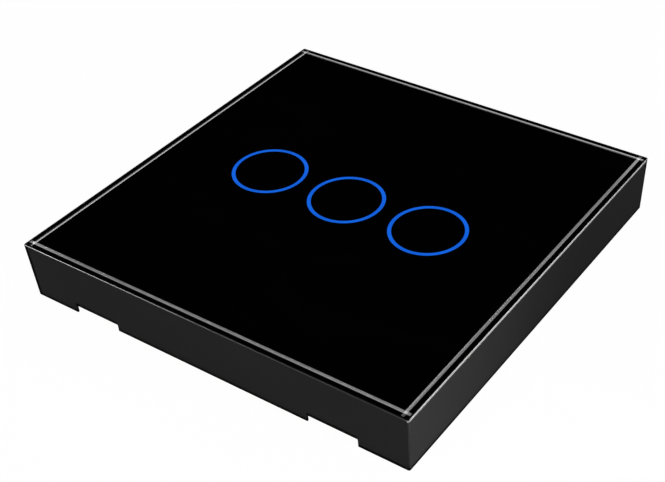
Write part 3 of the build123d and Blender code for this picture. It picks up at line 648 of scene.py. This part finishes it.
boardValues = {
    "mask": (0.008, 0.07, 0.022), "track": (0.02, 0.14, 0.045), "laminate": (0.3, 0.28, 0.14),
    "trackPitch": 1100.0, "blockScale": 160.0, "roughness": 0.3,
    "fold": 0.5, "trackFrom": 0.22, "trackTo": 0.28, "trackStrength": 0.4, "trackDepth": 0.00004,
    "sideTo": 0.4, "faceFrom": 0.6,  # how far a surface faces along Z
}


def circuitBoard(values):
    material, tree, shader, place = startMaterial("circuitBoard")
    blocks = cells(tree, place, values["blockScale"], distance="CHEBYCHEV")
    turns = multiply(tree, blocks, values["trackPitch"] / values["blockScale"])
    folded = mathNode(tree, "PINGPONG", turns, values["fold"])
    track = easeRange(tree, folded, values["trackFrom"], values["trackTo"])
    painted = mixColors(tree, track, opaque(values["mask"]), opaque(values["track"]))
    facing = splitAxes(tree, addNode(tree, "ShaderNodeNewGeometry").outputs["Normal"])["Z"]
    isFace = mapRange(tree, absolute(tree, facing), values["sideTo"], values["faceFrom"])
    colour = mixColors(tree, isFace, opaque(values["laminate"]), painted)
    wire(tree, colour, shader, "Base Color")
    shader.inputs["Roughness"].default_value = values["roughness"]
    normal = bumpNormal(tree, track, values["trackStrength"], values["trackDepth"])
    wire(tree, normal, shader, "Normal")
    return material


putOn(circuitBoard(boardValues), "main_board")

tapeValues = {
    "colour": 0.03, "fibreColour": 0.06, "roughness": 0.75, "fibreScale": 1600.0,
    "detail": 4.0, "distortion": 3.0, "fibreFrom": 0.45, "fibreTo": 0.65,
}


def tissueTape(values):
    material, tree, shader, place = startMaterial("tissueTape")
    fibres = noise(
        tree, place, values["fibreScale"], values["detail"], Distortion=values["distortion"],
    )
    mask = easeRange(tree, fibres, values["fibreFrom"], values["fibreTo"])
    colour = mixColors(tree, mask, grey(values["colour"]), grey(values["fibreColour"]))
    wire(tree, colour, shader, "Base Color")
    shader.inputs["Roughness"].default_value = values["roughness"]
    return material


putOn(tissueTape(tapeValues), "panel_tape")

padValues = {
    "liner": (0.72, 0.7, 0.62), "linerShade": (0.66, 0.64, 0.56), "linerTo": 0.00005,
    "foam": (0.6, 0.6, 0.58), "foamPore": (0.42, 0.42, 0.4), "foamFrom": 0.0001,
    "poreScale": 2600.0, "poreTo": 0.1, "poreEdge": 0.45, "roughness": 0.45,
    "creaseScale": 130.0, "creaseDetail": 5.0, "creaseStrength": 0.3, "creaseDepth": 0.00015,
}


# white foam with a creased paper liner on the side that goes to the wall
def foamPad(values):
    material, tree, shader, place = startMaterial("foamPad")
    pores = cells(tree, place, values["poreScale"])
    pore = easeRange(tree, pores, values["poreTo"], values["poreEdge"], 1.0, 0.0)
    foam = mixColors(tree, pore, opaque(values["foam"]), opaque(values["foamPore"]))
    crease = noise(tree, place, values["creaseScale"], values["creaseDetail"])
    liner = mixColors(tree, crease, opaque(values["liner"]), opaque(values["linerShade"]))
    height = splitAxes(tree, place)["Z"]
    isLiner = mapRange(tree, height, values["linerTo"], values["foamFrom"], 1.0, 0.0)
    wire(tree, mixColors(tree, isLiner, foam, liner), shader, "Base Color")
    shader.inputs["Roughness"].default_value = values["roughness"]
    normal = bumpNormal(tree, crease, values["creaseStrength"], values["creaseDepth"])
    wire(tree, normal, shader, "Normal")
    return material


putOn(foamPad(padValues), "adhesive_pads")
print("board, tape and pads done")


# studio

floorValues = {"halfSize": 3.0, "segments": 8, "colour": 0.8, "white": 0.98, "mirrored": 0.05}


def floorPaper(values):
    material, tree = emptyMaterial("floorPaper")
    paper = addNode(tree, "ShaderNodeBsdfDiffuse", {"Color": grey(values["colour"])})
    lit = addNode(tree, "ShaderNodeEmission", {"Color": grey(1.0), "Strength": 1.0})
    seen = addNode(tree, "ShaderNodeLightPath").outputs
    share = multiply(tree, seen["Is Camera Ray"], values["white"])
    shown = addNode(tree, "ShaderNodeMixShader", {0: share, 1: paper.outputs[0], 2: lit.outputs[0]})
    # painted reflection: glossy rays see the floor as a nearly black emission, so polished faces
    # mirror dark where the white paper is
    paintedDarkReflection = addNode(tree, "ShaderNodeEmission", {"Color": grey(values["mirrored"]), "Strength": 1.0})
    shaders = {0: seen["Is Glossy Ray"], 1: shown.outputs[0], 2: paintedDarkReflection.outputs[0]}
    floorWithDarkReflection = addNode(tree, "ShaderNodeMixShader", shaders)
    addNode(tree, "ShaderNodeOutputMaterial", {"Surface": floorWithDarkReflection.outputs[0]})
    return material


def studioFloor(values):
    mesh = bpy.data.meshes.new("studioFloor")
    shape = bmesh.new()
    segments = values["segments"]
    bmesh.ops.create_grid(
        shape, x_segments=segments, y_segments=segments, size=values["halfSize"],
    )
    shape.to_mesh(mesh)
    shape.free()
    mesh.materials.append(floorPaper(values))
    floor = bpy.data.objects.new("studioFloor", mesh)
    bpy.context.scene.collection.objects.link(floor)


studioFloor(floorValues)

skyValues = {"ambient": 0.42, "horizon": 1.7, "high": 0.001, "fadeFrom": 0.02, "fadeTo": 0.42}


# white for the camera, plain for the walls, and bright only near the horizon where it is mirrored
def studioSky(values):
    world = bpy.data.worlds.new("studioSky")
    bpy.context.scene.world = world
    world.use_nodes = True
    tree = world.node_tree
    tree.nodes.clear()
    seen = addNode(tree, "ShaderNodeLightPath").outputs
    up = splitAxes(tree, addNode(tree, "ShaderNodeTexCoord").outputs["Generated"])["Z"]
    fade = easeRange(tree, up, values["fadeFrom"], values["fadeTo"])
    mirrored = mixColors(tree, fade, grey(values["horizon"]), grey(values["high"]))
    shown = mixColors(tree, seen["Is Glossy Ray"], grey(values["ambient"]), mirrored)
    colour = mixColors(tree, seen["Is Camera Ray"], shown, grey(1.0))
    back = addNode(tree, "ShaderNodeBackground", {"Color": colour, "Strength": 1.0})
    addNode(tree, "ShaderNodeOutputWorld", {"Surface": back.outputs[0]})


studioSky(skyValues)

# place and aim in metres from the middle of the face, size in metres, power in watts
lampValues = {
    "leftEdgeLamp": {
        "place": (-0.375, -0.30, 0.21), "aim": (-0.043, -0.043, 0.0),
        "size": (0.10, 0.36), "power": 0.9, "spread": 180.0,
    },
    "rightEdgeLamp": {
        "place": (0.362, 0.305, 0.18), "aim": (0.043, 0.0, 0.0),
        "size": (0.20, 0.34), "power": 1.45, "spread": 180.0,
    },
    "frontFill": {
        "place": (0.10, -0.45, 0.12), "aim": (0.0, -0.043, 0.0),
        "size": (0.15, 0.15), "power": 0.75, "spread": 180.0,
    },
    "cornerLamp": {
        "place": (0.30, -0.040, 0.06), "aim": (0.043, -0.052, -0.006),
        "size": (0.03, 0.03), "power": 0.025, "spread": 25.0,
    },
}


# the lamps leave the polished pane and its rings out, so that these never mirror them
def studioLamps(values):
    receivers = bpy.data.collections.new("lampReceivers")
    for order, name in enumerate(["glass_panel", *ringPlaces]):
        receivers.objects.link(nodes[name])
        receivers.collection_objects[order].light_linking.link_state = "EXCLUDE"
    faceMiddle = Vector((0.0, 0.0, faceLevel))
    for name, lamp in values.items():
        light = bpy.data.lights.new(name, "AREA")
        light.shape = "RECTANGLE"
        light.size, light.size_y = lamp["size"]
        light.energy = lamp["power"]
        light.spread = radians(lamp["spread"])
        place, aim = Vector(lamp["place"]), Vector(lamp["aim"])
        holder = bpy.data.objects.new(name, light)
        holder.location = place + faceMiddle
        holder.rotation_euler = (aim - place).to_track_quat("-Z", "Y").to_euler()
        holder.light_linking.receiver_collection = receivers
        bpy.context.scene.collection.objects.link(holder)


studioLamps(lampValues)
print("studio done")


# camera, at the photograph's angle: degrees, metres from the middle of the face, and pixels

cameraValues = {
    "azimuth": 34.700, "elevation": 37.576, "roll": -1.880,
    "distance": 0.250552, "shiftRight": 0.012692, "shiftUp": -0.007979,
    "focalPixels": 1303.840, "centreOffset": 80.0, "imageWidth": 665.0,
    "sensorWidth": 36.0, "clipStart": 0.01,
}


def photoCamera(values):
    azimuth, elevation, roll = (radians(values[k]) for k in ("azimuth", "elevation", "roll"))
    back = Vector((sin(azimuth) * cos(elevation), -cos(azimuth) * cos(elevation), sin(elevation)))
    right = Vector((cos(azimuth), sin(azimuth), 0.0))
    up = back.cross(right)
    rolledRight = cos(roll) * right + sin(roll) * up
    rolledUp = cos(roll) * up - sin(roll) * right
    place = back * values["distance"] + rolledRight * values["shiftRight"]
    place += rolledUp * values["shiftUp"]
    place.z += faceLevel
    turn = Matrix((rolledRight, rolledUp, back)).transposed().to_4x4()
    camera = bpy.data.objects.new("photoCamera", bpy.data.cameras.new("photoCamera"))
    camera.matrix_world = Matrix.Translation(place) @ turn
    camera.data.sensor_width = values["sensorWidth"]
    camera.data.lens = values["focalPixels"] * values["sensorWidth"] / values["imageWidth"]
    camera.data.shift_x = -values["centreOffset"] / values["imageWidth"]
    camera.data.clip_start = values["clipStart"]
    bpy.context.scene.collection.objects.link(camera)
    bpy.context.scene.camera = camera


photoCamera(cameraValues)
bpy.context.scene.view_settings.view_transform = "Standard"
print("camera done")
